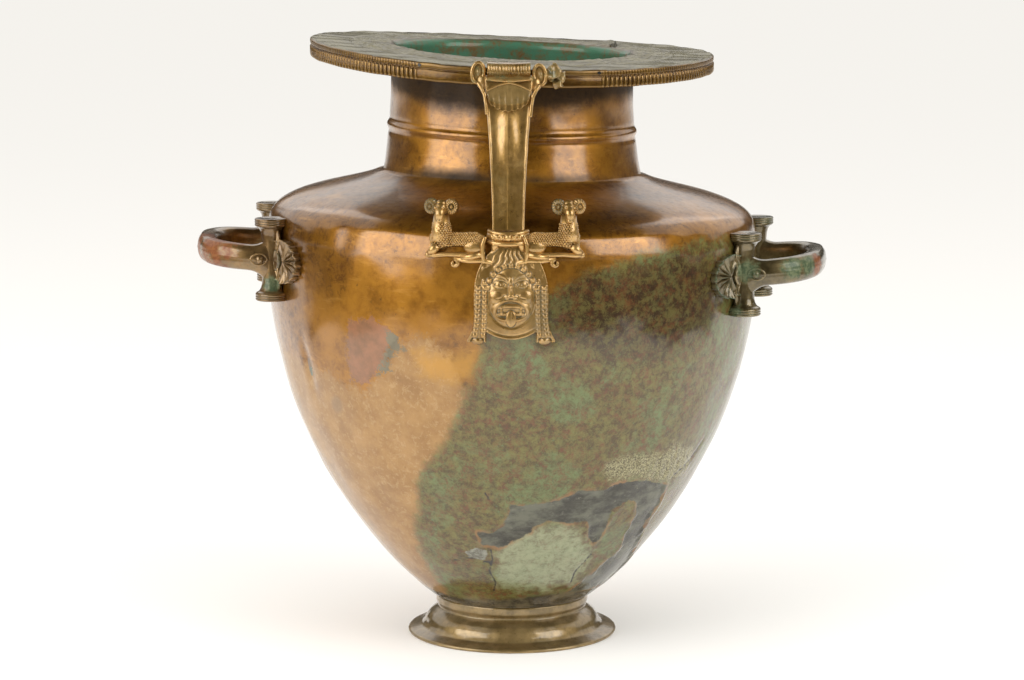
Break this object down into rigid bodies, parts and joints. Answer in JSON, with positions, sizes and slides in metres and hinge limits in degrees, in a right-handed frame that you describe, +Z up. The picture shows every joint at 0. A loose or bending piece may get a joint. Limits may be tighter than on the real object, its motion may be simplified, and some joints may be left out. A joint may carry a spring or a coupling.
{
  "type": "bronze hydria",
  "caption": "Archaic bronze water jar with a broad cast mouth, ring foot, vertical handle with mask and rams, and two side handles.",
  "frame": {"origin": "centre of the foot on the ground", "axes": "+Z up, -Y towards the vertical handle with the mask, +X and -X towards the side handles"},
  "size_m": [0.4473, 0.3558, 0.4312],
  "materials": {
    "body_bronze": "hammered bronze, golden brown with green and brown patina, dents, cracks and a dark grey repair fill",
    "foot_bronze": "cast bronze, worn olive brown",
    "mouth_bronze": "cast bronze, grey green and rough on top, brown on the edge",
    "handle_bronze": "cast bronze, olive grey, with green and reddish patina in the hollows"
  },
  "bodies": {
    "root": {"body": "body_bronze", "foot": "foot_bronze", "mouth": "mouth_bronze", "vertical_handle": "handle_bronze", "side_handle_left": "handle_bronze", "side_handle_right": "handle_bronze"}
  },
  "joints": []
}
